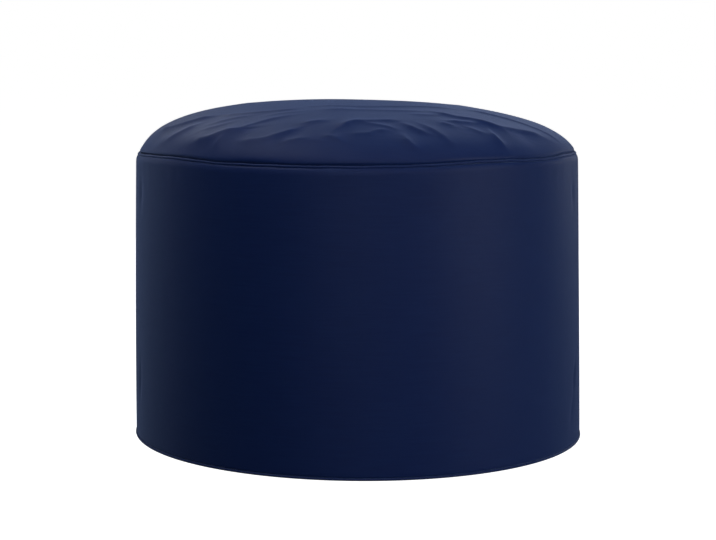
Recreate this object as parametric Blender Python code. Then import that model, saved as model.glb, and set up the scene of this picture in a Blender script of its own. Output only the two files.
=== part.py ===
"""Round bean-filled footstool: a cloth drum with a crowned, wrinkled top.

The cover is cut from five pieces: a round base panel, a side band sewn into a drum, a round top panel,
and a thin welt in each of the two round seams. The side band and the top panel are modelled with the
filling behind them, so they are solid. Lengths are in metres and +Z is up. The base panel lies flat at
height 0, and the front of the footstool faces -Y.
"""

import math
from collections import namedtuple

import bmesh
import bpy
from mathutils import Vector

BASE_RADIUS = 0.250
TAPER = 0.0054  # how much narrower the drum is at the top than at the base
TAPER_POWER = 1.6
SEAM_HEIGHT = 0.3155
SEAM_RADIUS = 0.2416
BASE_SEAM_HEIGHT = 0.0019
BASE_SEAM_RADIUS = 0.2491
WELT_RADIUS = 0.0016
CROWN_RISE = 0.0566
CROWN_POWER = 2.56  # above 2, it keeps the crown flatter in the middle than a ball
CROWN_SIDE = 0.55  # the crown is fuller towards -X by this much of the power
CROWN_ROUNDING = 1.845  # towards 2 the crown meets its seam more steeply
LEAN = math.radians(0.62)  # the filled drum leans this much towards -X above its flat base
SHOULDER_DROP = 0.0085  # below the top seam the band rolls out to its full width over this height
BASE_ROLL = 0.0035  # above the base seam it does the same over this height
BACK_JOIN_DEPTH = 0.0012
BACK_JOIN_WIDTH = 0.0035
LIFT_REACH = 0.8  # the seam's rise and fall dies away at this share of its radius
LIFT_POWER = 4  # and it dies away down the wall with this power of the height
HIDDEN_FLAT = 0.9  # inside this share of a seam's radius, the hidden faces between pieces are flat
RIM_EASE = 0.06  # the folds die away over this share of the crown's radius at its rim
RIDGE_BLEND = 4  # where two ridges meet, a higher power lets the taller one win
STEPS = 108  # facets round each piece
WALL_ROWS = 7  # facets up the band between its two rolls
WELT_SIDES = 8
SHARP_EDGE = math.radians(50)
GAP = 0.0003
CLOTH_COLOUR = (0.0075, 0.0130, 0.0450, 1.0)
CLOTH_ROUGHNESS = 0.55

# Angles are in degrees from the front (-Y) towards +X, and radii are from the middle of the crown.
# A fold is a ridge of slack cloth. Its steep side is on the right of its run from start to end.
Fold = namedtuple("Fold", "from_angle from_radius to_angle to_radius height gentle_side steep_side")
FOLDS = (
    Fold(-48, 0.228, -38, 0.204, 0.0034, 0.012, 0.007),
    Fold(-38, 0.204, -29, 0.158, 0.0032, 0.012, 0.007),
    Fold(-39, 0.210, -40, 0.236, 0.0022, 0.010, 0.008),
    Fold(-31, 0.219, -22, 0.202, 0.0024, 0.011, 0.007),
    Fold(-22, 0.202, -14, 0.172, 0.0018, 0.011, 0.008),
    Fold(-20, 0.224, -3, 0.217, 0.0014, 0.010, 0.007),
    Fold(-2, 0.175, 9, 0.163, 0.0026, 0.013, 0.008),
    Fold(9, 0.163, 27, 0.168, 0.0022, 0.013, 0.008),
    Fold(27, 0.168, 33, 0.190, 0.0016, 0.012, 0.008),
    Fold(12, 0.174, 20, 0.208, 0.0016, 0.010, 0.007),
    Fold(13, 0.206, 16, 0.237, 0.0020, 0.010, 0.007),
    Fold(44, 0.177, 61, 0.205, 0.0032, 0.013, 0.008),
    Fold(61, 0.205, 74, 0.230, 0.0026, 0.011, 0.007),
    Fold(44, 0.185, 42, 0.237, 0.0026, 0.010, 0.008),
    Fold(35, 0.190, 37, 0.218, 0.0014, 0.009, 0.008),
    Fold(-71, 0.233, -60, 0.212, 0.0026, 0.011, 0.007),
    Fold(-60, 0.212, -62, 0.172, 0.0018, 0.011, 0.008),
    Fold(-108, 0.212, -80, 0.204, 0.0014, 0.011, 0.007),
    Fold(-104, 0.176, -76, 0.168, 0.0010, 0.012, 0.008),
    Fold(82, 0.196, 112, 0.208, 0.0014, 0.011, 0.007),
    Fold(96, 0.164, 122, 0.172, 0.0018, 0.012, 0.008),
    Fold(118, 0.204, 128, 0.228, 0.0020, 0.010, 0.007),
    Fold(134, 0.188, 158, 0.210, 0.0026, 0.012, 0.008),
    Fold(160, 0.184, 184, 0.188, 0.0022, 0.012, 0.008),
    Fold(176, 0.194, 178, 0.228, 0.0018, 0.010, 0.007),
    Fold(-174, 0.210, -152, 0.198, 0.0024, 0.011, 0.007),
    Fold(-150, 0.164, -128, 0.172, 0.0020, 0.012, 0.008),
    Fold(-136, 0.218, -120, 0.204, 0.0024, 0.011, 0.007),
)

# A hollow is a broad dip where the filling has settled, and a negative depth is a swelling.
Hollow = namedtuple("Hollow", "angle radius spread depth")
HOLLOWS = (
    Hollow(0, 0.090, 0.044, 0.0020),
    Hollow(-11, 0.129, 0.026, -0.0014),
    Hollow(150, 0.080, 0.050, 0.0016),
    Hollow(-43, 0.216, 0.015, 0.0014),
    Hollow(-18, 0.209, 0.015, 0.0012),
    Hollow(17, 0.206, 0.015, 0.0012),
    Hollow(49, 0.203, 0.016, 0.0016),
    Hollow(-66, 0.209, 0.016, 0.0012),
    Hollow(104, 0.190, 0.022, 0.0014),
    Hollow(-112, 0.190, 0.022, 0.0014),
)

# The filling presses the band out unevenly, in waves that go round it.
Swell = namedtuple("Swell", "waves out turn")
SWELLS = (
    Swell(3, 0.0006, 0.9),
    Swell(5, 0.0004, -1.1),
)

# The top seam rises and falls a little as it goes round, because the cloth is soft.
Lift = namedtuple("Lift", "angle rise")
SEAM_LIFTS = (
    Lift(-180, 0.0),
    Lift(-135, 0.0012),
    Lift(-90, 0.0),
    Lift(-53, 0.0029),
    Lift(-30, -0.0002),
    Lift(-10, -0.0010),
    Lift(10, -0.0009),
    Lift(34, 0.0009),
    Lift(52, -0.0006),
    Lift(66, 0.0010),
    Lift(90, -0.0010),
    Lift(135, 0.0012),
    Lift(180, 0.0),
)


def eased(share):
    """0 to 1 with a level start and end, from a share that may lie outside 0 to 1."""
    share = min(1.0, max(0.0, share))
    return share * share * (3 - 2 * share)


def plan_point(angle, radius):
    """A point of the plan, from degrees round from the front and a distance from the middle."""
    return Vector((radius * math.sin(math.radians(angle)), -radius * math.cos(math.radians(angle))))


def seam_lift(angle):
    """How far the top seam rises or falls at an angle, in degrees."""
    for low, high in zip(SEAM_LIFTS, SEAM_LIFTS[1:]):
        if angle <= high.angle:
            share = eased((angle - low.angle) / (high.angle - low.angle))
            return low.rise + share * (high.rise - low.rise)
    return SEAM_LIFTS[-1].rise


def wall_radius(height):
    """Radius of the drum, which narrows upwards in a gentle curve."""
    return BASE_RADIUS - TAPER * (max(0.0, height) / SEAM_HEIGHT) ** TAPER_POWER


def crown_height(share, side):
    """Height of the crown above the seam at a share of the seam's radius; side is x over the radius."""
    power = CROWN_POWER - CROWN_SIDE * side
    return CROWN_RISE * max(0.0, 1 - share**power) ** (1 / CROWN_ROUNDING)


def fold_relief(point):
    """How far the ridges of slack cloth raise the crown at a point of its plan."""
    total = 0.0
    for fold in FOLDS:
        start = plan_point(fold.from_angle, fold.from_radius)
        run = plan_point(fold.to_angle, fold.to_radius) - start
        along = min(1.0, max(0.0, (point - start).dot(run) / run.dot(run)))
        offset = point - start - along * run
        on_the_right = run.x * offset.y - run.y * offset.x < 0
        width = fold.steep_side if on_the_right else fold.gentle_side
        total += (fold.height * math.exp(-((offset.length / width) ** 2))) ** RIDGE_BLEND
    return total ** (1 / RIDGE_BLEND)


def hollow_relief(point):
    """How far the dips in the filling lower the crown at a point of its plan, as a negative height."""
    total = 0.0
    for hollow in HOLLOWS:
        distance = (point - plan_point(hollow.angle, hollow.radius)).length
        total -= hollow.depth * math.exp(-((distance / hollow.spread) ** 2))
    return total


def turned(profile):
    """A bmesh of the profile, (radius, height) points from the lower pole to the upper, spun about +Z."""
    bm = bmesh.new()
    points = [bm.verts.new((0.0, -radius, height)) for radius, height in profile]
    edges = [bm.edges.new(pair) for pair in zip(points, points[1:])]
    bmesh.ops.spin(
        bm,
        geom=points + edges,
        cent=(0, 0, 0),
        axis=(0, 0, 1),
        angle=math.tau,
        steps=STEPS,
        use_merge=True,
    )
    bmesh.ops.remove_doubles(bm, verts=bm.verts, dist=1e-6)
    return bm


def settle(bm):
    """Gives an upright piece the drum's lean and its seam's rise and fall, with the base kept flat."""
    for vert in bm.verts:
        x, y, z = vert.co
        radius = math.hypot(x, y)
        share = min(1.0, z / SEAM_HEIGHT)
        lift = seam_lift(math.degrees(math.atan2(x, -y))) * share**LIFT_POWER
        lift *= eased((radius / SEAM_RADIUS - LIFT_REACH) / (1 - LIFT_REACH))
        vert.co = Vector((x - LEAN * z, y, z + share * LEAN * x + lift))


def finish(name, bm):
    """Makes the bmesh an object of that name, shaded smooth, with its own cloth material."""
    bmesh.ops.recalc_face_normals(bm, faces=bm.faces)
    mesh = bpy.data.meshes.new(name)
    bm.to_mesh(mesh)
    bm.free()
    mesh.shade_smooth()
    mesh.set_sharp_from_angle(angle=SHARP_EDGE)
    material = bpy.data.materials.new(name + "_cloth")
    material.use_nodes = True
    shader = material.node_tree.nodes["Principled BSDF"]
    shader.inputs["Base Color"].default_value = CLOTH_COLOUR
    shader.inputs["Roughness"].default_value = CLOTH_ROUGHNESS
    shader.inputs["Metallic"].default_value = 0.0
    mesh.materials.append(material)
    piece = bpy.data.objects.new(name, mesh)
    bpy.context.scene.collection.objects.link(piece)
    return piece


def round_the_welt(seam_radius, seam_height, angles):
    """Points of a profile that follow the welt at a gap, at angles from straight outwards, in degrees."""
    reach = WELT_RADIUS + GAP
    return [
        (
            seam_radius + reach * math.cos(math.radians(angle)),
            seam_height + reach * math.sin(math.radians(angle)),
        )
        for angle in angles
    ]


def quarter(inner_radius, inner_height, outer_radius, outer_height, angles):
    """Points of a quarter ellipse from the inner point to the upright at the outer point."""
    return [
        (
            inner_radius + (outer_radius - inner_radius) * math.sin(math.radians(angle)),
            outer_height + (inner_height - outer_height) * math.cos(math.radians(angle)),
        )
        for angle in angles
    ]


def base_panel():
    """Round cloth panel that lies flat on what the footstool stands on."""
    top = BASE_SEAM_HEIGHT - GAP / 2
    edge = BASE_SEAM_RADIUS - WELT_RADIUS - 1.5 * GAP
    profile = [(0, 0), (edge - top, 0), (edge - 0.3 * top, 0.3 * top), (edge, top), (0, top)]
    return finish("base_panel", turned(profile))


def welt(name, seam_radius, seam_height):
    """Thin round welt of folded cloth, sewn into a seam all the way round."""
    bm = bmesh.new()
    section = bmesh.ops.create_circle(bm, segments=WELT_SIDES, radius=WELT_RADIUS)["verts"]
    for vert in section:
        vert.co = Vector((0.0, -seam_radius + vert.co.x, seam_height + vert.co.y))
    bmesh.ops.spin(
        bm,
        geom=section + bm.edges[:],
        cent=(0, 0, 0),
        axis=(0, 0, 1),
        angle=math.tau,
        steps=STEPS,
        use_merge=True,
    )
    settle(bm)
    return finish(name, bm)


def side_band():
    """Drum wall and its filling, drawn in at both seams, with the upright join of the strip at the back."""
    shoulder = SEAM_HEIGHT - SHOULDER_DROP - WELT_RADIUS
    base_roll = BASE_SEAM_HEIGHT + WELT_RADIUS + BASE_ROLL
    under_roll = round_the_welt(BASE_SEAM_RADIUS, BASE_SEAM_HEIGHT, (176, 138, 100))
    over_roll = round_the_welt(SEAM_RADIUS, SEAM_HEIGHT, (-92, -134, -176))
    profile = [(0, BASE_SEAM_HEIGHT + GAP / 2), (HIDDEN_FLAT * BASE_RADIUS, BASE_SEAM_HEIGHT + GAP / 2)]
    profile += under_roll
    profile += quarter(*under_roll[-1], wall_radius(base_roll), base_roll, (50, 90))
    heights = [base_roll + (shoulder - base_roll) * row / WALL_ROWS for row in range(1, WALL_ROWS)]
    profile += [(wall_radius(height), height) for height in heights]
    profile += quarter(*over_roll[0], wall_radius(shoulder), shoulder, (90, 60, 30))
    profile += over_roll
    profile += [(HIDDEN_FLAT * SEAM_RADIUS, SEAM_HEIGHT - GAP / 2), (0, SEAM_HEIGHT - GAP / 2)]
    bm = turned(profile)
    for side in (-BACK_JOIN_WIDTH, BACK_JOIN_WIDTH):
        back = [face for face in bm.faces if face.calc_center_median().y > HIDDEN_FLAT * BASE_RADIUS]
        around = {part for face in back for part in (*face.verts, *face.edges)}
        bmesh.ops.bisect_plane(bm, geom=back + list(around), plane_co=(side, 0, 0), plane_no=(1, 0, 0))
    for vert in bm.verts:
        x, y, z = vert.co
        middle = math.sin(math.pi * min(1.0, max(0.0, (z - base_roll) / (shoulder - base_roll))))
        angle = math.atan2(x, -y)
        out = middle * sum(swell.out * math.sin(swell.waves * angle + swell.turn) for swell in SWELLS)
        if y > 0 and abs(x) < 0.5 * BACK_JOIN_WIDTH and base_roll <= z <= shoulder:
            out -= BACK_JOIN_DEPTH
        if math.hypot(x, y) > SEAM_RADIUS:
            vert.co += out * Vector((x, y, 0)).normalized()
    settle(bm)
    return finish("side_band", bm)


def top_panel():
    """Crowned top panel and the filling under it, with its folds of slack cloth."""
    rings = (0.985, 0.965, 0.94, 0.91, 0.88, 0.85, 0.82, 0.79, 0.76, 0.73, 0.70, 0.665, 0.63, 0.595)
    rings += (0.55, 0.50, 0.44, 0.37, 0.29, 0.20, 0.10, 0.0)
    profile = [(0, SEAM_HEIGHT + GAP / 2), (HIDDEN_FLAT * SEAM_RADIUS, SEAM_HEIGHT + GAP / 2)]
    under = round_the_welt(SEAM_RADIUS, SEAM_HEIGHT, (176, 144, 110))
    profile += under
    profile += [(SEAM_RADIUS * share, SEAM_HEIGHT + CROWN_RISE) for share in rings]
    bm = turned(profile)
    highest_under = under[-1][1] + GAP
    for vert in bm.verts:
        if vert.co.z < highest_under:
            continue
        point = vert.co.xy
        share = point.length / SEAM_RADIUS
        side = point.x / max(point.length, 1e-9)
        relief = (fold_relief(point) + hollow_relief(point)) * eased((1 - share) / RIM_EASE)
        vert.co.z = SEAM_HEIGHT + crown_height(share, side) + relief
    settle(bm)
    return finish("top_panel", bm)


for old in list(bpy.data.objects):
    bpy.data.objects.remove(old, do_unlink=True)
pieces = [
    base_panel(),
    welt("base_welt", BASE_SEAM_RADIUS, BASE_SEAM_HEIGHT),
    side_band(),
    welt("top_welt", SEAM_RADIUS, SEAM_HEIGHT),
    top_panel(),
]
footstool = bpy.data.objects.new("footstool", None)
bpy.context.scene.collection.objects.link(footstool)
for piece in pieces:
    piece.parent = footstool
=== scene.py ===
"""Round bean-filled footstool in dark navy woven cloth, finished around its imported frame.

The pieces are made in the order in which a maker puts them together: base panel, base welt, side band,
top welt, top panel. Lengths are in metres, +Z is up, and the front of the footstool faces -Y.
"""

import math
from collections import namedtuple

import bmesh
import bpy
import numpy as np
from mathutils import Matrix, Vector


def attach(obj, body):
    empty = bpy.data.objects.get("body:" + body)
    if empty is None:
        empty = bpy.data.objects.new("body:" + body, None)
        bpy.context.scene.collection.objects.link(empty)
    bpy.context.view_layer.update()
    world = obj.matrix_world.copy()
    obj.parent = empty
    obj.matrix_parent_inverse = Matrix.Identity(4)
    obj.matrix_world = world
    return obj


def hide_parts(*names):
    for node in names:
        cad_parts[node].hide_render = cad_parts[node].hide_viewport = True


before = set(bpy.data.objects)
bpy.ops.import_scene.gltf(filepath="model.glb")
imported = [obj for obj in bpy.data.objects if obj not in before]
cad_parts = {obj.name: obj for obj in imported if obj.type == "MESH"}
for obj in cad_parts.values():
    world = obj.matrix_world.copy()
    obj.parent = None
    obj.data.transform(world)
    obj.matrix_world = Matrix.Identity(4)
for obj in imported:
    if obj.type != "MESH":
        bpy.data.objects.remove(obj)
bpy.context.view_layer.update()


# Base panel.
# The round of cover cloth that the footstool stands on: plain-woven polyester, cut to the drum's width and
# sewn to the lower edge of the side band with a welt between. It lies flat under the filling.
BASE_SEAM_RADIUS = 0.2496
BASE_SEAM_HEIGHT = 0.0019
WELT_RADIUS = 0.0013
GAP = 0.0002
BASE_EDGE_ROLL = 0.3  # the panel's edge turns up over this share of its thickness, and then stands steep
DOUBLINGS = 5  # a piece is turned as a wedge, which is then doubled this many times to close the circle
WEDGE_COLUMNS = 21  # points round a wedge, 2.3 mm apart at the rim
CLOTH_NAVY = "#04133a"
CLOTH_PALE = "#0a1d44"  # the same cloth where a slub thread lies higher and is worn paler
THREAD_PITCH = 0.0011  # the real 0.5 mm threads are drawn twice as coarse, or they would not show
THREAD_RELIEF = 0.00012
SLUB_LENGTH = 0.045  # a slub is a stretch of thicker thread
SLUB_PITCH = 0.0016
SLUB_RELIEF = 0.00010


def linear(colour):
    """The linear red, green, blue and alpha of a hex colour."""
    parts = [int(colour[start : start + 2], 16) / 255 for start in (1, 3, 5)]
    return [part / 12.92 if part <= 0.04045 else ((part + 0.055) / 1.055) ** 2.4 for part in parts] + [1.0]


def add_node(tree, kind, inputs, **settings):
    """Adds a node with its settings, and sets or links its inputs, which are given by name or number."""
    made = tree.nodes.new(kind)
    for setting, value in settings.items():
        setattr(made, setting, value)
    for socket, value in inputs.items():
        if isinstance(value, bpy.types.NodeSocket):
            tree.links.new(value, made.inputs[socket])
        else:
            made.inputs[socket].default_value = value
    return made


def woven_polyester(name, grain_turn, slub_show):
    """Dyed polyester in a plain weave: dark and even face on, with a soft pale sheen at a slant.

    The pattern lies along the piece's own UV map, in metres of cloth, turned by grain_turn.
    """
    material = bpy.data.materials.new(name)
    material.use_nodes = True
    tree = material.node_tree
    shader = tree.nodes["Principled BSDF"]
    cloth = add_node(tree, "ShaderNodeUVMap", {}, uv_map="cloth").outputs["UV"]
    grain = add_node(tree, "ShaderNodeMapping", {"Vector": cloth, "Rotation": (0, 0, grain_turn)})
    grain = grain.outputs["Vector"]

    # Warp and weft threads pass over each other in turn, so each square shows the round of one of them.
    wave_scale = math.tau / (20 * THREAD_PITCH)
    warp = add_node(tree, "ShaderNodeTexWave", {"Vector": grain, "Scale": wave_scale}, bands_direction="X")
    weft = add_node(tree, "ShaderNodeTexWave", {"Vector": grain, "Scale": wave_scale}, bands_direction="Y")
    over = add_node(
        tree,
        "ShaderNodeTexChecker",
        {"Vector": grain, "Scale": 1 / THREAD_PITCH, "Color1": (1, 1, 1, 1), "Color2": (0, 0, 0, 1)},
    )
    weave = add_node(
        tree,
        "ShaderNodeMix",
        {"Factor": over.outputs["Fac"], "A": warp.outputs["Fac"], "B": weft.outputs["Fac"]},
    )

    # Slubs run along the weft and give the cloth its faint level streaks.
    stretch = add_node(
        tree,
        "ShaderNodeMapping",
        {"Vector": grain, "Scale": (1 / SLUB_LENGTH, 1 / SLUB_PITCH, 1)},
    )
    slubs = add_node(
        tree,
        "ShaderNodeTexNoise",
        {"Vector": stretch.outputs["Vector"], "Scale": 1.0, "Detail": 2.0, "Roughness": 0.6},
    )
    streak = add_node(
        tree,
        "ShaderNodeMapRange",
        {"Value": slubs.outputs["Fac"], "From Min": 0.35, "From Max": 0.75, "To Max": slub_show},
    )
    patches = add_node(
        tree,
        "ShaderNodeTexNoise",
        {"Vector": grain, "Scale": 9.0, "Detail": 3.0, "Roughness": 0.55},
    )
    shade = add_node(
        tree,
        "ShaderNodeMath",
        {0: patches.outputs["Fac"], 1: 0.35, 2: streak.outputs["Result"]},
        operation="MULTIPLY_ADD",
    )
    # A colour Mix node has its colours behind its numbers, so they are given by their places.
    colour = add_node(
        tree,
        "ShaderNodeMix",
        {0: shade.outputs["Value"], 6: linear(CLOTH_NAVY), 7: linear(CLOTH_PALE)},
        data_type="RGBA",
    )
    tree.links.new(colour.outputs[2], shader.inputs["Base Color"])

    threads = add_node(
        tree,
        "ShaderNodeBump",
        {"Height": weave.outputs["Result"], "Distance": THREAD_RELIEF, "Strength": 0.6},
    )
    relief = add_node(
        tree,
        "ShaderNodeBump",
        {
            "Height": slubs.outputs["Fac"],
            "Distance": SLUB_RELIEF,
            "Strength": 0.8,
            "Normal": threads.outputs["Normal"],
        },
    )
    tree.links.new(relief.outputs["Normal"], shader.inputs["Normal"])
    shader.inputs["Roughness"].default_value = 0.45
    shader.inputs["IOR"].default_value = 1.5
    shader.inputs["Specular IOR Level"].default_value = 0.09
    shader.inputs["Sheen Weight"].default_value = 0.22
    shader.inputs["Sheen Roughness"].default_value = 0.47
    shader.inputs["Sheen Tint"].default_value = linear("#aac5ff")
    return material


def spun_round(bm, section):
    """Turns a section's points and edges all the way round +Z: first as a wedge, then by doubling it."""
    wedge = math.tau / 2**DOUBLINGS
    bmesh.ops.spin(
        bm, geom=section, cent=(0, 0, 0), axis=(0, 0, 1), angle=wedge, steps=WEDGE_COLUMNS, use_merge=False
    )
    for doubling in range(DOUBLINGS):
        copy = bmesh.ops.duplicate(bm, geom=bm.verts[:] + bm.edges[:] + bm.faces[:])["geom"]
        bmesh.ops.rotate(
            bm,
            verts=[part for part in copy if isinstance(part, bmesh.types.BMVert)],
            cent=(0, 0, 0),
            matrix=Matrix.Rotation(wedge * 2**doubling, 3, "Z"),
        )
    bmesh.ops.remove_doubles(bm, verts=bm.verts, dist=2e-6)
    bmesh.ops.recalc_face_normals(bm, faces=bm.faces)
    return bm


def turned(profile):
    """A bmesh of the profile, (radius, height) points from the lower pole to the upper, spun about +Z."""
    bm = bmesh.new()
    points = [bm.verts.new((0.0, -radius, height)) for radius, height in profile]
    edges = [bm.edges.new(pair) for pair in zip(points, points[1:])]
    return spun_round(bm, points + edges)


def points_of(mesh):
    """The mesh's points as rows of x, y and z."""
    places = np.empty(3 * len(mesh.vertices), np.float32)
    mesh.vertices.foreach_get("co", places)
    return places.reshape(-1, 3).astype(float)


def map_cloth(mesh, spread):
    """Gives the mesh its cloth UV map; spread turns points and middles of faces into metres of cloth."""
    corners = np.empty(len(mesh.loops), np.int32)
    mesh.loops.foreach_get("vertex_index", corners)
    counts = np.empty(len(mesh.polygons), np.int32)
    mesh.polygons.foreach_get("loop_total", counts)
    middles = np.empty(3 * len(mesh.polygons), np.float32)
    mesh.polygons.foreach_get("center", middles)
    middles = np.repeat(middles.reshape(-1, 3), counts, axis=0)
    flat = spread(points_of(mesh)[corners], middles)
    mesh.uv_layers.new(name="cloth").data.foreach_set("uv", flat.astype(np.float32).ravel())


def sewn_in(name, node, bm, material, shape, spread):
    """Makes a shaped bmesh the visible piece that stands for a node of the frame."""
    mesh = bpy.data.meshes.new(name)
    bm.to_mesh(mesh)
    bm.free()
    mesh.vertices.foreach_set("co", shape(points_of(mesh)).astype(np.float32).ravel())
    mesh.update()
    map_cloth(mesh, spread)
    mesh.shade_smooth()
    mesh.materials.append(material)
    piece = bpy.data.objects.new(name, mesh)
    bpy.context.scene.collection.objects.link(piece)
    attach(piece, "root")
    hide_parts(node)
    return piece


def flat_spread(points, middles):
    return points[:, :2]


base_top = BASE_SEAM_HEIGHT - GAP / 2
base_edge = BASE_SEAM_RADIUS - WELT_RADIUS - 1.5 * GAP
base_profile = [
    (0, 0),
    (base_edge - base_top, 0),
    (base_edge - BASE_EDGE_ROLL * base_top, BASE_EDGE_ROLL * base_top),
    (base_edge, base_top),
    (0, base_top),
]
cover_cloth = woven_polyester("navy_plain_woven_polyester", 0.0, 0.5)
base_panel = sewn_in(
    "base_panel_cloth",
    "base_panel",
    turned(base_profile),
    cover_cloth,
    lambda points: points,
    flat_spread,
)


# Base welt.
# A narrow bias strip of the cover cloth, folded over and caught in the seam between base panel and side
# band, so that it stands proud as a thin round edge just above the floor.
SEAM_HEIGHT = 0.3155
SEAM_RADIUS = 0.2416
LEAN = math.radians(0.62)  # the filled drum leans this much towards -X above its flat base
LIFT_REACH = 0.8
LIFT_POWER = 4
WELT_SIDES = 14
WELT_WOBBLE = 0.00025  # how far the welt wanders in its seam
WELT_OUT_WAVES = 38  # it wanders out and in, and up and down, about this many times in the whole turn
WELT_UP_WAVES = 29

# The top seam rises and falls a little as it goes round, because the cloth is soft.
Lift = namedtuple("Lift", "angle rise")
SEAM_LIFTS = (
    Lift(-180, 0.0),
    Lift(-135, 0.0012),
    Lift(-90, 0.0),
    Lift(-53, 0.0029),
    Lift(-30, -0.0002),
    Lift(-10, -0.0010),
    Lift(10, -0.0009),
    Lift(34, 0.0009),
    Lift(52, -0.0006),
    Lift(66, 0.0010),
    Lift(90, -0.0010),
    Lift(135, 0.0012),
    Lift(180, 0.0),
)


def eased(share):
    """0 to 1 with a level start and end, from a share that may lie outside 0 to 1."""
    share = np.clip(share, 0.0, 1.0)
    return share * share * (3 - 2 * share)


def degrees_round(points):
    """How far round from the front, in degrees towards +X, each point lies."""
    return np.degrees(np.arctan2(points[:, 0], -points[:, 1]))


def seam_lift(angles):
    """How far the top seam rises or falls at each angle."""
    spots = np.array([lift.angle for lift in SEAM_LIFTS], float)
    rises = np.array([lift.rise for lift in SEAM_LIFTS])
    before = np.clip(np.searchsorted(spots, angles) - 1, 0, len(spots) - 2)
    share = eased((angles - spots[before]) / (spots[before + 1] - spots[before]))
    return rises[before] + share * (rises[before + 1] - rises[before])


def settled(points):
    """Gives upright points the drum's lean and its seam's rise and fall, with the base kept flat."""
    x, y, z = points.T
    share = np.minimum(1.0, z / SEAM_HEIGHT)
    reach = eased((np.hypot(x, y) / SEAM_RADIUS - LIFT_REACH) / (1 - LIFT_REACH))
    lift = seam_lift(degrees_round(points)) * np.maximum(share, 0.0) ** LIFT_POWER * reach
    return np.column_stack((x - LEAN * z, y, z + share * LEAN * x + lift))


def ripple(angles, waves, seed):
    """An uneven wave round the drum, from -1 to 1, with about that many waves in the whole turn."""
    turn = np.radians(angles)
    near = waves + seed % 3
    mix = np.sin(near * turn + seed) + 0.7 * np.sin(1.37 * near // 1 * turn + 2.1 * seed)
    return (mix + 0.5 * np.sin(0.61 * near // 1 * turn + 3.3 * seed)) / 2.2


def rolled_strip(seam_radius, seam_height):
    """A bmesh of a welt: a round section turned about +Z along its seam."""
    bm = bmesh.new()
    section = bmesh.ops.create_circle(bm, segments=WELT_SIDES, radius=WELT_RADIUS)["verts"]
    for vert in section:
        vert.co = Vector((0.0, -seam_radius + vert.co.x, seam_height + vert.co.y))
    return spun_round(bm, section + bm.edges[:])


def degrees_past(angles, angle):
    """How many degrees each angle lies past another one, from -180 to 180."""
    return (angles - angle + 180) % 360 - 180


def welt_shape(wobble, sinks=()):
    """The welt wanders a little in its seam, and sinks towards the band, before the drum's lean moves it."""

    def shape(points):
        angles = degrees_round(points)
        radii = np.hypot(points[:, 0], points[:, 1])
        out = 1 + wobble * ripple(angles, WELT_OUT_WAVES, 2.0) / radii
        up = wobble * ripple(angles, WELT_UP_WAVES, 5.0)
        for sink in sinks:
            up = up - sink.depth * np.exp(-((degrees_past(angles, sink.angle) / sink.spread) ** 2))
        return settled(np.column_stack((points[:, 0] * out, points[:, 1] * out, points[:, 2] + up)))

    return shape


def round_spread(points, middles):
    """Metres of cloth round the drum and up it, with no tear where the turn closes at the back."""
    here = np.arctan2(points[:, 0], -points[:, 1])
    face = np.arctan2(middles[:, 0], -middles[:, 1])
    here += math.tau * np.round((face - here) / math.tau)
    return np.column_stack((here * SEAM_RADIUS, points[:, 2] + np.hypot(points[:, 0], points[:, 1])))


bias_cloth = woven_polyester("navy_bias_cut_polyester", math.radians(45), 0.3)
base_welt = sewn_in(
    "base_welt_strip",
    "base_welt",
    rolled_strip(BASE_SEAM_RADIUS, BASE_SEAM_HEIGHT),
    bias_cloth,
    welt_shape(0.0),
    round_spread,
)


# Side band.
# One strip of the cover cloth whose ends are sewn together at the back, so that it makes the drum's wall.
# The beads press it out taut. It is drawn in at both seams, where the stitches gather it a little.
BASE_RADIUS = 0.250
TAPER = 0.0054  # how much narrower the drum is at the top than at the base
TAPER_POWER = 1.6
SHOULDER_DROP = 0.0085  # below the top seam the band rolls out to its full width over this height
BASE_ROLL = 0.0022  # above the base seam it does the same over this height
HIDDEN_FLAT = 0.9  # inside this share of a seam's radius, the hidden faces between pieces are flat
WALL_ROWS = 76
BACK_JOIN_DEPTH = 0.0014
BACK_JOIN_WIDTH = 0.0022
BACK_JOIN_ENDS = 0.05  # the groove of the join dies away over this share of the wall's fullness at both ends
GATHER_DEPTH = 0.00012  # the stitches of the top seam gather the band by up to this much
GATHER_WAVES = 61
GATHER_REACH = 0.016  # how far the gathers run down from the seam
GATHER_RISE = 0.008  # how far they take to reach their depth, half of it above the shoulder

# The filling presses the band out unevenly, in waves that go round it.
Swell = namedtuple("Swell", "waves out turn")
SWELLS = (
    Swell(3, 0.0006, 0.9),
    Swell(5, 0.0004, -1.1),
)

# A crease is a short soft dent of the wall. Its slant is how far round it leans for each metre up.
Crease = namedtuple("Crease", "angle height slant length width out")
CREASES = (
    Crease(-72.0, 0.070, 0.10, 0.020, 0.0050, -0.0012),
    Crease(71.5, 0.076, 0.25, 0.016, 0.0050, -0.0015),
    Crease(68.5, 0.042, 0.35, 0.014, 0.0050, -0.0009),
    Crease(-71.0, 0.274, 0.10, 0.015, 0.0070, -0.0012),
    Crease(71.0, 0.274, -0.10, 0.015, 0.0070, -0.0014),
    Crease(118.0, 0.058, 0.30, 0.018, 0.0060, -0.0010),
    Crease(-140.0, 0.075, -0.25, 0.020, 0.0060, -0.0010),
)


def wall_radius(height):
    """Radius of the drum, which narrows upwards in a gentle curve."""
    return BASE_RADIUS - TAPER * (max(0.0, height) / SEAM_HEIGHT) ** TAPER_POWER


def round_the_welt(seam_radius, seam_height, angles):
    """Points of a profile that follow the welt at a gap, at angles from straight outwards, in degrees."""
    reach = WELT_RADIUS + GAP
    turns = [math.radians(angle) for angle in angles]
    return [(seam_radius + reach * math.cos(turn), seam_height + reach * math.sin(turn)) for turn in turns]


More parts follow.
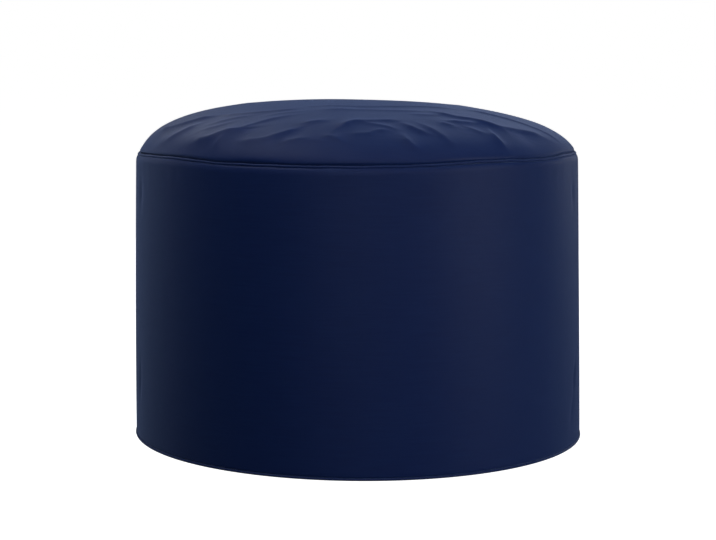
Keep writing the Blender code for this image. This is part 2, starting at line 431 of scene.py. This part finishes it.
def quarter(inner_radius, inner_height, outer_radius, outer_height, angles):
    """Points of a quarter ellipse from the inner point to the upright at the outer point."""
    turns = [math.radians(angle) for angle in angles]
    wide = outer_radius - inner_radius
    high = inner_height - outer_height
    return [(inner_radius + wide * math.sin(turn), outer_height + high * math.cos(turn)) for turn in turns]


shoulder = SEAM_HEIGHT - SHOULDER_DROP - WELT_RADIUS
base_roll = BASE_SEAM_HEIGHT + WELT_RADIUS + BASE_ROLL


def band_profile():
    under_roll = round_the_welt(BASE_SEAM_RADIUS, BASE_SEAM_HEIGHT, range(176, 96, -16))
    over_roll = round_the_welt(SEAM_RADIUS, SEAM_HEIGHT, range(-92, -180, -14))
    profile = [(0, BASE_SEAM_HEIGHT + GAP / 2), (HIDDEN_FLAT * BASE_RADIUS, BASE_SEAM_HEIGHT + GAP / 2)]
    profile += under_roll
    profile += quarter(*under_roll[-1], wall_radius(base_roll), base_roll, range(15, 91, 15))
    heights = [base_roll + (shoulder - base_roll) * row / WALL_ROWS for row in range(1, WALL_ROWS)]
    profile += [(wall_radius(height), height) for height in heights]
    profile += quarter(*over_roll[0], wall_radius(shoulder), shoulder, range(90, 9, -8))
    profile += over_roll
    return profile + [(HIDDEN_FLAT * SEAM_RADIUS, SEAM_HEIGHT - GAP / 2), (0, SEAM_HEIGHT - GAP / 2)]


def band_shape(points):
    x, y, z = points.T
    radii = np.hypot(x, y)
    angles = degrees_round(points)
    middle = np.sin(math.pi * np.clip((z - base_roll) / (shoulder - base_roll), 0, 1))
    out = middle * sum(swell.out * np.sin(swell.waves * np.radians(angles) + swell.turn) for swell in SWELLS)
    from_back = np.where(y > 0, np.abs(x), 1.0)
    out -= BACK_JOIN_DEPTH * np.exp(-((from_back / BACK_JOIN_WIDTH) ** 2)) * eased(middle / BACK_JOIN_ENDS)
    for crease in CREASES:
        up = z - crease.height
        across = np.radians(degrees_past(angles, crease.angle)) * BASE_RADIUS - crease.slant * up
        out += crease.out * np.exp(-((across / crease.width) ** 2) - (up / crease.length) ** 2)
    below_seam = shoulder - z
    gather = np.exp(-((below_seam / GATHER_REACH) ** 2)) * eased(below_seam / GATHER_RISE + 0.5)
    out += GATHER_DEPTH * gather * ripple(angles, GATHER_WAVES, 1.3)
    out = np.where(radii > SEAM_RADIUS, out, 0.0)
    scale = 1 + out / np.maximum(radii, 1e-6)
    return settled(np.column_stack((x * scale, y * scale, z)))


side_band = sewn_in(
    "side_band_cloth",
    "side_band",
    turned(band_profile()),
    cover_cloth,
    band_shape,
    round_spread,
)


# Top welt.
# The same folded bias strip as at the base, caught in the seam between side band and top panel. It wanders
# a little, because the cloth on both sides of it is slack.

# A sink is a stretch of the seam, given in degrees round, where the welt lies deeper between its neighbours.
Sink = namedtuple("Sink", "angle spread depth")
WELT_SINKS = (
    Sink(-72, 26, 0.0006),
    Sink(3, 12, 0.0004),
    Sink(31, 9, -0.0003),
    Sink(72, 22, 0.0006),
    Sink(-160, 30, 0.0005),
    Sink(130, 20, 0.0004),
    Sink(0, 720, 0.0004),
)
top_welt = sewn_in(
    "top_welt_strip",
    "top_welt",
    rolled_strip(SEAM_RADIUS, SEAM_HEIGHT),
    bias_cloth,
    welt_shape(WELT_WOBBLE, WELT_SINKS),
    round_spread,
)


# Top panel.
# A round of the cover cloth, cut a little too wide for the crown of beads under it, so that the spare cloth
# lies in soft ridges near the rim, each with a gentle side and a steep one.
CROWN_RISE = 0.0566
CROWN_POWER = 2.56  # above 2, it keeps the crown flatter in the middle than a ball
CROWN_SIDE = 0.55  # the crown is fuller towards -X by this much of the power
CROWN_ROUNDING = 1.845  # towards 2 the crown meets its seam more steeply
SIDE_PULL = 0.0058  # at both sides the seam pulls the rim of the crown down by up to this
SIDE_PULL_MEAN = 0.7  # the share of it that both sides have, and how much more of it the -X side has
SIDE_PULL_TILT = 0.3
SIDE_PULL_FROM = 0.4  # it starts where the sine of the angle round passes this, and is full 0.5 further on
SIDE_PULL_OVER = 0.5
SIDE_PULL_REACH = 0.05  # in shares of the crown's radius, inwards from the rim: how far it reaches
SIDE_PULL_START = 0.008
RIM_EASE = 0.06  # the folds die away over this share of the crown's radius at its rim
RIDGE_BLEND = 1.6  # where two ridges meet, a higher power lets the taller one win
CROWN_ROWS = 132
ROW_CROWDING = 1.2  # above 1, the rows lie closer together towards the rim
CREST = 0.0006  # how rounded the top of a fold is

# The camera stands 2 m in front of the footstool and 0.44 m up, and its frame is turned by 0.4 degrees. Its
# place comes here, because the folds of the front are placed by where it sees them.
CAMERA_PLACE = Vector((-0.0014, -1.993, 0.4368))
CAMERA_AIM = Vector((-0.0014, 0.0, 0.1813))
CAMERA_TURN = math.radians(0.41)
SENSOR_WIDTH = 36.0  # in millimetres, as are the lenses
SPOT_LENS = 89.53  # the lens that the spots were read with, a touch wider than the camera's own
PICTURE_WIDTH = 716  # in pixels
PICTURE_HEIGHT = 540
SIGHT_STEPS = 8001  # how finely a line of sight is followed across the crown
camera_facing = (CAMERA_AIM - CAMERA_PLACE).to_track_quat("-Z", "Y").to_matrix().to_4x4()
camera_stand = Matrix.Translation(CAMERA_PLACE) @ camera_facing @ Matrix.Rotation(CAMERA_TURN, 4, "Z")

# A fold of the front is given by spots along its crest, as they show in the photo: pixels across and down,
# and the ridge's height there. Its flanks, left and right of that run, have their widths for each two steps.
Spot = namedtuple("Spot", "across down height")
SeenFold = namedtuple("SeenFold", "gain spots flanks")
LARGEST_GAIN = 1.3  # the ridges are this much taller than first read, as their light and dark sides ask
LESSER_GAIN = 1.25
LONG_GAIN = 1.2
LEFT_GAIN = 1.15  # the same for the widths of the flanks
RIGHT_GAIN = 0.85
SEEN_FOLDS = (
    # The largest folds of the front.
    SeenFold(
        LARGEST_GAIN,
        (
            Spot(185, 144, 0.002), Spot(204, 137.3, 0.0048), Spot(216, 132, 0.0056),
            Spot(226, 130, 0.0046), Spot(240, 128.8, 0.0024), Spot(264, 120.5, 0.0013),
            Spot(303, 113.5, 0.0009),
        ),
        ((0.01, 0.008), (0.01, 0.007), (0.009, 0.004)),
    ),
    SeenFold(
        LARGEST_GAIN,
        (
            Spot(226, 132, 0.0024), Spot(219, 140, 0.003), Spot(208, 152, 0.0014),
        ),
        ((0.006, 0.006),),
    ),
    SeenFold(
        LARGEST_GAIN,
        (
            Spot(236, 140, 0.0014), Spot(255, 138.8, 0.0022), Spot(270, 135.5, 0.0026),
            Spot(285, 130.5, 0.0024), Spot(302, 126, 0.0014),
        ),
        ((0.007, 0.006), (0.008, 0.006)),
    ),
    SeenFold(
        LARGEST_GAIN,
        (
            Spot(338, 129, 0.0016), Spot(351, 120.8, 0.003), Spot(364, 119.5, 0.0028),
            Spot(384, 119.7, 0.0015), Spot(404, 120.5, 0.001),
        ),
        ((0.01, 0.007), (0.008, 0.005)),
    ),
    SeenFold(
        LARGEST_GAIN,
        (
            Spot(403, 130.5, 0.0026), Spot(411, 142, 0.0028), Spot(425, 156, 0.0014),
        ),
        ((0.004, 0.009),),
    ),
    SeenFold(
        LARGEST_GAIN,
        (
            Spot(428, 110.5, 0.0012), Spot(450, 114.5, 0.0024), Spot(472, 118.5, 0.0032),
            Spot(487, 121.5, 0.0046), Spot(502, 124.7, 0.0048), Spot(527, 130.5, 0.0026),
            Spot(550, 140, 0.0016),
        ),
        ((0.012, 0.006), (0.013, 0.009), (0.012, 0.006)),
    ),
    SeenFold(
        LARGEST_GAIN,
        (
            Spot(440, 120, 0.0014), Spot(462, 121.3, 0.0024), Spot(485, 123.5, 0.003),
        ),
        ((0.007, 0.007),),
    ),
    SeenFold(
        LARGEST_GAIN,
        (
            Spot(487, 126, 0.003), Spot(498, 138, 0.0032), Spot(512, 151, 0.0016),
        ),
        ((0.004, 0.012),),
    ),
    # Lesser folds of the front.
    SeenFold(
        LESSER_GAIN,
        (
            Spot(158, 131, 0.0022), Spot(170, 126, 0.0038), Spot(184, 121.5, 0.004),
            Spot(200, 118, 0.0028), Spot(218, 115.5, 0.0016),
        ),
        ((0.009, 0.006), (0.01, 0.005)),
    ),
    SeenFold(
        LESSER_GAIN,
        (
            Spot(152, 147, 0.0014), Spot(162, 142, 0.0024), Spot(172, 136.5, 0.0026),
            Spot(187, 129, 0.0022), Spot(202, 122.5, 0.0012),
        ),
        ((0.006, 0.006), (0.007, 0.006)),
    ),
    SeenFold(
        LESSER_GAIN,
        (
            Spot(205, 126.5, 0.0009), Spot(230, 119, 0.0013), Spot(262, 114, 0.0008),
        ),
        ((0.007, 0.004),),
    ),
    SeenFold(
        LESSER_GAIN,
        (
            Spot(195, 133.5, 0.0009), Spot(216, 127, 0.0013), Spot(242, 119.5, 0.0008),
        ),
        ((0.007, 0.004),),
    ),
    SeenFold(
        LESSER_GAIN,
        (
            Spot(300, 124, 0.0012), Spot(315, 120.5, 0.0018), Spot(334, 120.5, 0.001),
        ),
        ((0.007, 0.006),),
    ),
    SeenFold(
        LESSER_GAIN,
        (
            Spot(279, 144, 0.0012), Spot(294, 138.5, 0.002), Spot(312, 137, 0.0012),
        ),
        ((0.006, 0.005),),
    ),
    SeenFold(
        LESSER_GAIN,
        (
            Spot(298, 142, 0.0006), Spot(315, 139.5, 0.001), Spot(332, 142, 0.0006),
        ),
        ((0.005, 0.004),),
    ),
    SeenFold(
        LESSER_GAIN,
        (
            Spot(321, 138, 0.001), Spot(332, 135.5, 0.0017), Spot(345, 143.5, 0.0009),
        ),
        ((0.006, 0.005),),
    ),
    SeenFold(
        LESSER_GAIN,
        (
            Spot(350, 134, 0.0007), Spot(360, 133, 0.0011), Spot(370, 132.7, 0.0011),
            Spot(380, 129.5, 0.0012), Spot(392, 131, 0.0007),
        ),
        ((0.005, 0.005), (0.005, 0.005)),
    ),
    SeenFold(
        LESSER_GAIN,
        (
            Spot(355, 122.5, 0.0009), Spot(380, 124.5, 0.0014), Spot(400, 130, 0.001),
        ),
        ((0.005, 0.004),),
    ),
    SeenFold(
        LESSER_GAIN,
        (
            Spot(400, 121.5, 0.0012), Spot(416, 127, 0.002), Spot(432, 134.5, 0.0012),
        ),
        ((0.006, 0.005),),
    ),
    SeenFold(
        LESSER_GAIN,
        (
            Spot(416, 121.5, 0.001), Spot(437, 131, 0.0018), Spot(455, 148, 0.001),
        ),
        ((0.006, 0.006),),
    ),
    SeenFold(
        LESSER_GAIN,
        (
            Spot(437, 121.5, 0.001), Spot(447, 123.5, 0.0016), Spot(458, 127.5, 0.001),
        ),
        ((0.006, 0.006),),
    ),
    SeenFold(
        LESSER_GAIN,
        (
            Spot(462, 125.5, 0.0008), Spot(476, 130.5, 0.0014), Spot(491, 138.5, 0.0008),
        ),
        ((0.006, 0.006),),
    ),
    # Long fine creases over the top, which the beads press almost flat.
    SeenFold(
        LONG_GAIN,
        (
            Spot(218, 115.5, 0.0012), Spot(240, 113.8, 0.0015), Spot(262, 111.7, 0.0015),
            Spot(283, 110, 0.0014), Spot(302, 108, 0.001),
        ),
        ((0.007, 0.004), (0.007, 0.004)),
    ),
    SeenFold(
        LONG_GAIN,
        (
            Spot(262, 117, 0.0007), Spot(285, 113, 0.0009), Spot(310, 111, 0.0007),
        ),
        ((0.007, 0.005),),
    ),
    SeenFold(
        LONG_GAIN,
        (
            Spot(300, 106.3, 0.001), Spot(345, 105.5, 0.0015), Spot(400, 105.6, 0.0015),
            Spot(430, 106.6, 0.0014), Spot(460, 109.5, 0.001),
        ),
        ((0.008, 0.005), (0.008, 0.005)),
    ),
    SeenFold(
        LONG_GAIN,
        (
            Spot(318, 110.5, 0.0009), Spot(345, 109.6, 0.0012), Spot(372, 109.5, 0.0012),
            Spot(405, 110.3, 0.0012), Spot(440, 112.5, 0.0009),
        ),
        ((0.008, 0.005), (0.008, 0.005)),
    ),
    SeenFold(
        LONG_GAIN,
        (
            Spot(408, 113.5, 0.0007), Spot(426, 114.5, 0.0011), Spot(446, 115, 0.0007),
        ),
        ((0.007, 0.005),),
    ),
    SeenFold(
        LONG_GAIN,
        (
            Spot(460, 108.5, 0.0009), Spot(490, 114, 0.0014), Spot(524, 123.5, 0.0016),
            Spot(545, 132.5, 0.0014), Spot(564, 145.5, 0.0009),
        ),
        ((0.007, 0.004), (0.006, 0.004)),
    ),
)

# A fold is a ridge along a smooth curve through three places, given by degrees round from the front (-Y)
# towards +X and by metres from the middle of the crown. Its two flanks lie left and right of that run.
# A row that starts where the row before it ends carries the same fold on.
Fold = namedtuple("Fold", "from_angle from_radius by_angle by_radius to_angle to_radius height left right")
HIDDEN_FOLDS = (
    # The largest folds of the sides and the back.
    Fold(116, 0.200, 122, 0.218, 126, 0.236, 0.0026, 0.0050, 0.0080),
    Fold(130, 0.184, 137, 0.183, 144, 0.190, 0.0034, 0.0100, 0.0065),
    Fold(144, 0.190, 152, 0.198, 158, 0.212, 0.0042, 0.0110, 0.0075),
    Fold(159, 0.197, 166, 0.186, 174, 0.184, 0.0030, 0.0100, 0.0060),
    Fold(174, 0.184, 181, 0.186, 188, 0.196, 0.0024, 0.0090, 0.0055),
    Fold(174, 0.198, 178, 0.215, 177, 0.236, 0.0026, 0.0050, 0.0080),
    Fold(-174, 0.216, -166, 0.206, -158, 0.202, 0.0034, 0.0100, 0.0065),
    Fold(-158, 0.202, -150, 0.199, -143, 0.204, 0.0028, 0.0090, 0.0060),
    Fold(-146, 0.206, -150, 0.221, -150, 0.236, 0.0022, 0.0060, 0.0080),
    Fold(-138, 0.224, -130, 0.208, -118, 0.204, 0.0036, 0.0100, 0.0065),
    Fold(-152, 0.160, -140, 0.164, -128, 0.176, 0.0022, 0.0090, 0.0055),
    # Lesser folds of the sides and the back.
    Fold(-112, 0.222, -104, 0.216, -96, 0.214, 0.0008, 0.0080, 0.0055),
    Fold(92, 0.212, 101, 0.209, 112, 0.216, 0.0008, 0.0080, 0.0055),
    Fold(140, 0.214, 150, 0.222, 160, 0.224, 0.0018, 0.0060, 0.0050),
    Fold(163, 0.216, 169, 0.210, 174, 0.216, 0.0016, 0.0060, 0.0050),
    Fold(-167, 0.227, -161, 0.220, -154, 0.227, 0.0016, 0.0060, 0.0050),
    Fold(127, 0.207, 133, 0.212, 139, 0.224, 0.0020, 0.0060, 0.0050),
    Fold(106, 0.178, 115, 0.183, 123, 0.193, 0.0010, 0.0070, 0.0050),
    Fold(-130, 0.191, -121, 0.184, -111, 0.188, 0.0011, 0.0070, 0.0050),
    Fold(-102, 0.227, -96, 0.218, -90, 0.224, 0.0009, 0.0060, 0.0050),
    Fold(95, 0.224, 102, 0.217, 110, 0.224, 0.0009, 0.0060, 0.0050),
    Fold(148, 0.150, 168, 0.136, 188, 0.142, 0.0013, 0.0080, 0.0050),
    Fold(-168, 0.168, -156, 0.161, -142, 0.168, 0.0014, 0.0080, 0.0050),
    Fold(-136, 0.146, -119, 0.134, -101, 0.136, 0.0006, 0.0080, 0.0050),
    Fold(100, 0.132, 117, 0.122, 135, 0.129, 0.0006, 0.0080, 0.0050),
    Fold(134, 0.112, 158, 0.098, 184, 0.096, 0.0010, 0.0080, 0.0060),
)
NIP = 0.0012  # the stitches draw the crown in by up to this much just above its welt
NIP_HEIGHT = 0.0016
NIP_EVERYWHERE = 0.45  # shares of the nip: all round, more at both sides, and how unevenly it goes round
NIP_AT_SIDES = 0.45
NIP_UNEVEN = 0.4
NIP_WAVES = 13
NIP_SIDES_FROM = 0.5  # in sines of the angle round, as for the pull at the sides
NIP_SIDES_OVER = 0.4
CURVE_PIECES = 6  # a fold's curve is measured along this many short lines
FOLD_FADE = 0.35  # a row's height changes over this share of its length at both ends
FREE_END = 0.2  # a fold dies away to this share of its height where nothing carries it on

# A hollow is a broad dip where the filling has settled, and a negative depth is a swelling.
Hollow = namedtuple("Hollow", "angle radius spread depth")
HOLLOWS = (
    Hollow(0, 0.090, 0.044, 0.0012),
    Hollow(-11, 0.129, 0.026, -0.0014),
    Hollow(150, 0.080, 0.050, 0.0016),
    Hollow(-44, 0.229, 0.012, 0.0008),
    Hollow(-18, 0.209, 0.015, 0.0012),
    Hollow(17, 0.206, 0.015, 0.0012),
    Hollow(52, 0.222, 0.013, 0.0010),
    Hollow(-66, 0.209, 0.016, 0.0012),
    Hollow(104, 0.190, 0.022, 0.0014),
    Hollow(-112, 0.190, 0.022, 0.0014),
)


def plan_point(angle, radius):
    """A point of the plan, from degrees round from the front and a distance from the middle."""
    return np.array((radius * math.sin(math.radians(angle)), -radius * math.cos(math.radians(angle))))


def full_crown(plan):
    """Height of the crown above the seam at points of its plan, before its rim is pulled down."""
    radii = np.hypot(*plan.T)
    power = CROWN_POWER - CROWN_SIDE * plan[:, 0] / np.maximum(radii, 1e-9)
    return CROWN_RISE * (1 - np.minimum(radii / SEAM_RADIUS, 1) ** power) ** (1 / CROWN_ROUNDING)


def seen_place(spot, gain):
    """Degrees round and metres from the middle of the crest that the camera sees at a spot."""
    pixel = SENSOR_WIDTH / SPOT_LENS / PICTURE_WIDTH
    across = (spot.across - PICTURE_WIDTH / 2) * pixel
    up = (PICTURE_HEIGHT / 2 - spot.down) * pixel
    sight = camera_stand.to_3x3() @ Vector((across, up, -1))
    y = np.linspace(-SEAM_RADIUS, SEAM_RADIUS, SIGHT_STEPS)
    run = (y - CAMERA_PLACE.y) / sight.y
    plan = np.column_stack((CAMERA_PLACE.x + run * sight.x + LEAN * SEAM_HEIGHT, y))
    crest = SEAM_HEIGHT + LEAN * plan[:, 0] + full_crown(plan) + gain * spot.height
    above = CAMERA_PLACE.z + run * sight.z - crest
    above[np.hypot(*plan.T) >= SEAM_RADIUS] = np.inf
    first = np.argmax(above <= 0) if (above <= 0).any() else np.argmin(above)
    x, y = plan[first]
    return round(math.degrees(math.atan2(x, -y)), 1), round(math.hypot(x, y), 3)


def fold_rows(seen):
    """A seen fold as rows that carry each other on, three spots to a row."""
    places = [seen_place(spot, seen.gain) for spot in seen.spots]
    for row, (left, right) in enumerate(seen.flanks):
        three = places[2 * row : 2 * row + 3]
        height = round(seen.gain * seen.spots[2 * row + 1].height, 4)
        yield Fold(*three[0], *three[1], *three[2], height, LEFT_GAIN * left, RIGHT_GAIN * right)


FOLDS = (*(row for seen in SEEN_FOLDS for row in fold_rows(seen)), *HIDDEN_FOLDS)


def fold_curve(fold):
    """Points of the plan along a fold: a parabola through its three places."""
    start = plan_point(fold.from_angle, fold.from_radius)
    middle = plan_point(fold.by_angle, fold.by_radius)
    end = plan_point(fold.to_angle, fold.to_radius)
    share = np.linspace(0, 1, CURVE_PIECES + 1)[:, None]
    pull = 2 * middle - (start + end) / 2
    return (1 - share) ** 2 * start + 2 * share * (1 - share) * pull + share**2 * end


def fold_relief(plan):
    """How far the ridges of slack cloth raise the crown at points of its plan."""
    total = np.zeros(len(plan))
    for before, fold, after in zip((None, *FOLDS), FOLDS, (*FOLDS[1:], None)):
        carried_on = before and before[4:6] == fold[:2]
        goes_on = after and after[:2] == fold[4:6]
        first = (before.height + fold.height) / 2 if carried_on else FREE_END * fold.height
        last = (fold.height + after.height) / 2 if goes_on else FREE_END * fold.height
        heights = (first, fold.height, fold.height, last)
        if not carried_on:
            ridge = np.zeros(len(plan))
        curve = fold_curve(fold)
        for piece, (start, end) in enumerate(zip(curve, curve[1:])):
            run = end - start
            along = np.clip((plan - start) @ run / (run @ run), 0, 1)
            offset = plan - start - along[:, None] * run
            on_the_right = run[0] * offset[:, 1] - run[1] * offset[:, 0] < 0
            flank = np.where(on_the_right, fold.right, fold.left)
            distance = np.sqrt((offset**2).sum(axis=1) + CREST**2) - CREST
            share = (piece + along) / CURVE_PIECES
            height = np.interp(share, (0, FOLD_FADE, 1 - FOLD_FADE, 1), heights)
            ridge = np.maximum(ridge, height * np.exp(-distance / flank))
        if not goes_on:
            total += ridge**RIDGE_BLEND
    return total ** (1 / RIDGE_BLEND)


def hollow_relief(plan):
    """How far the dips in the filling lower the crown at points of its plan, as a negative height."""
    total = np.zeros(len(plan))
    for hollow in HOLLOWS:
        distance = np.hypot(*(plan - plan_point(hollow.angle, hollow.radius)).T)
        total -= hollow.depth * np.exp(-((distance / hollow.spread) ** 2))
    return total


def crown_height(plan):
    """Height of the smooth crown above the seam at points of its plan, with its rim pulled down."""
    radii = np.hypot(*plan.T)
    sine = plan[:, 0] / np.maximum(radii, 1e-9)
    inwards = 1 - np.minimum(radii / SEAM_RADIUS, 1)
    sideways = eased((np.abs(sine) - SIDE_PULL_FROM) / SIDE_PULL_OVER)
    pull = SIDE_PULL * (SIDE_PULL_MEAN - SIDE_PULL_TILT * sine) * sideways
    pull *= np.exp(-inwards / SIDE_PULL_REACH) * (1 - np.exp(-inwards / SIDE_PULL_START))
    return full_crown(plan) - pull


def placed_relief(plan):
    """How far the folds and the hollows raise the crown; they die away at the rim."""
    share = np.hypot(*plan.T) / SEAM_RADIUS
    return (fold_relief(plan) + hollow_relief(plan)) * eased((1 - share) / RIM_EASE)


def crown_profile():
    rows = [1 - (row / CROWN_ROWS) ** ROW_CROWDING for row in range(1, CROWN_ROWS + 1)]
    profile = [(0, SEAM_HEIGHT + GAP / 2), (HIDDEN_FLAT * SEAM_RADIUS, SEAM_HEIGHT + GAP / 2)]
    profile += round_the_welt(SEAM_RADIUS, SEAM_HEIGHT, range(176, 100, -12))
    return profile + [(SEAM_RADIUS * row, SEAM_HEIGHT + CROWN_RISE) for row in rows]


def crown_shape(points):
    plan = points[:, :2]
    relief = placed_relief(plan)
    on_crown = points[:, 2] > SEAM_HEIGHT + CROWN_RISE / 2
    height = np.where(on_crown, SEAM_HEIGHT + crown_height(plan) + relief, points[:, 2])
    angles = degrees_round(points)
    sideways = eased((np.abs(np.sin(np.radians(angles))) - NIP_SIDES_FROM) / NIP_SIDES_OVER)
    strength = NIP_EVERYWHERE + NIP_AT_SIDES * sideways + NIP_UNEVEN * ripple(angles, NIP_WAVES, 2.2)
    above_welt = (height - SEAM_HEIGHT - WELT_RADIUS - GAP) / NIP_HEIGHT
    nip = NIP * np.clip(strength, 0, 1) * np.exp(-(above_welt**2)) * (height > SEAM_HEIGHT)
    drawn_in = 1 - nip / np.maximum(np.hypot(*plan.T), 0.1)
    return settled(np.column_stack((plan * drawn_in[:, None], height)))


def crown_spread(points, middles):
    """Metres of cloth out from the middle of the crown, longer than the plan where the crown is steep."""
    radii = np.hypot(points[:, 0], points[:, 1])
    fall = SEAM_HEIGHT + CROWN_RISE - points[:, 2]
    longer = np.hypot(radii, fall) / np.maximum(radii, 1e-6)
    return points[:, :2] * longer[:, None]


top_panel = sewn_in(
    "top_panel_cloth",
    "top_panel",
    turned(crown_profile()),
    cover_cloth,
    crown_shape,
    crown_spread,
)


# Floor and sky.
# A wide pale floor of matt board under a white paper backdrop, as in a photographer's tent. Both are bright
# of themselves and give no light to the footstool, which the softboxes do.
FLOOR_RADIUS = 40.0
TENT_RADIUS = 39.0
floor_bm = bmesh.new()
bmesh.ops.create_circle(floor_bm, cap_ends=True, segments=96, radius=FLOOR_RADIUS)
floor_mesh = bpy.data.meshes.new("floor")
floor_bm.to_mesh(floor_mesh)
floor_bm.free()
floor = bpy.data.objects.new("floor", floor_mesh)
bpy.context.scene.collection.objects.link(floor)
floor.visible_diffuse = False
floor.visible_glossy = False
floor_paint = bpy.data.materials.new("pale_matt_floor")
floor_paint.use_nodes = True
floor_shader = floor_paint.node_tree.nodes["Principled BSDF"]
floor_shader.inputs["Base Color"].default_value = (0.5, 0.5, 0.5, 1)
floor_shader.inputs["Roughness"].default_value = 0.9
floor_shader.inputs["Specular IOR Level"].default_value = 0.0
floor_shader.inputs["Emission Color"].default_value = (1, 1, 1, 1)
floor_shader.inputs["Emission Strength"].default_value = 1.0
floor_mesh.materials.append(floor_paint)

tent_bm = bmesh.new()
bmesh.ops.create_icosphere(tent_bm, subdivisions=4, radius=TENT_RADIUS)
tent_mesh = bpy.data.meshes.new("tent")
tent_bm.to_mesh(tent_mesh)
tent_bm.free()
tent_mesh.shade_smooth()
tent = bpy.data.objects.new("tent", tent_mesh)
bpy.context.scene.collection.objects.link(tent)
tent.visible_diffuse = False
tent.visible_glossy = False
tent.visible_shadow = False
tent_cloth = bpy.data.materials.new("white_backdrop_paper")
tent_cloth.use_nodes = True
tent_shader = tent_cloth.node_tree.nodes["Principled BSDF"]
tent_shader.inputs["Base Color"].default_value = (0, 0, 0, 1)
tent_shader.inputs["Specular IOR Level"].default_value = 0.0
tent_shader.inputs["Emission Color"].default_value = (1, 1, 1, 1)
tent_shader.inputs["Emission Strength"].default_value = 1.0
tent_mesh.materials.append(tent_cloth)

world = bpy.data.worlds.new("dark_room")
bpy.context.scene.world = world
world.use_nodes = True
world.node_tree.nodes["Background"].inputs["Strength"].default_value = 0.0


# Softboxes.
# Wide soft lights around and above the footstool, as a product photographer sets them. They are a touch cool.
Softbox = namedtuple("Softbox", "name round_from_front above_level distance size power")
SOFTBOXES = (
    Softbox("right_front", 60, 12, 2.7, 1.4, 42.6),
    Softbox("left_front", -60, 60, 1.2, 0.7, 6.4),
    Softbox("front_low", 0, 12, 2.7, 1.4, 16.8),
    Softbox("front_high", 0, 38, 2.7, 1.4, 15.7),
    Softbox("right_high", 60, 64, 2.7, 1.4, 10.1),
    Softbox("back", 158, 26, 2.7, 1.4, 2.6),
    Softbox("back_left", -145, 38, 1.7, 1.0, 4.0),
    Softbox("left_back", -120, 15, 2.7, 0.7, 3.6),
    Softbox("back_right", 135, 8, 2.7, 0.8, 3.4),
    Softbox("back_low", 180, -3.5, 2.0, 0.15, 14.0),
)
AIM = Vector((0, 0, 0.2))
DAYLIGHT = "#f7faff"
for box in SOFTBOXES:
    turn = Matrix.Rotation(math.radians(box.round_from_front), 3, "Z")
    tilt = Matrix.Rotation(math.radians(-box.above_level), 3, "X")
    out = turn @ tilt @ Vector((0, -1, 0))
    lamp = bpy.data.lights.new(box.name, "AREA")
    lamp.shape = "SQUARE"
    lamp.size = box.size
    lamp.energy = box.power
    lamp.color = linear(DAYLIGHT)[:3]
    light = bpy.data.objects.new(box.name, lamp)
    light.location = AIM + box.distance * out
    light.rotation_euler = out.to_track_quat("Z", "Y").to_euler()
    bpy.context.scene.collection.objects.link(light)


# Camera.
# It stands where the top panel's section puts it, with a long lens, as in the photo.
CAMERA_LENS = 89.8
lens = bpy.data.cameras.new("camera")
lens.lens = CAMERA_LENS
lens.sensor_width = SENSOR_WIDTH
camera = bpy.data.objects.new("camera", lens)
camera.matrix_world = camera_stand
bpy.context.scene.collection.objects.link(camera)
bpy.context.scene.camera = camera
bpy.context.scene.view_settings.view_transform = "Standard"
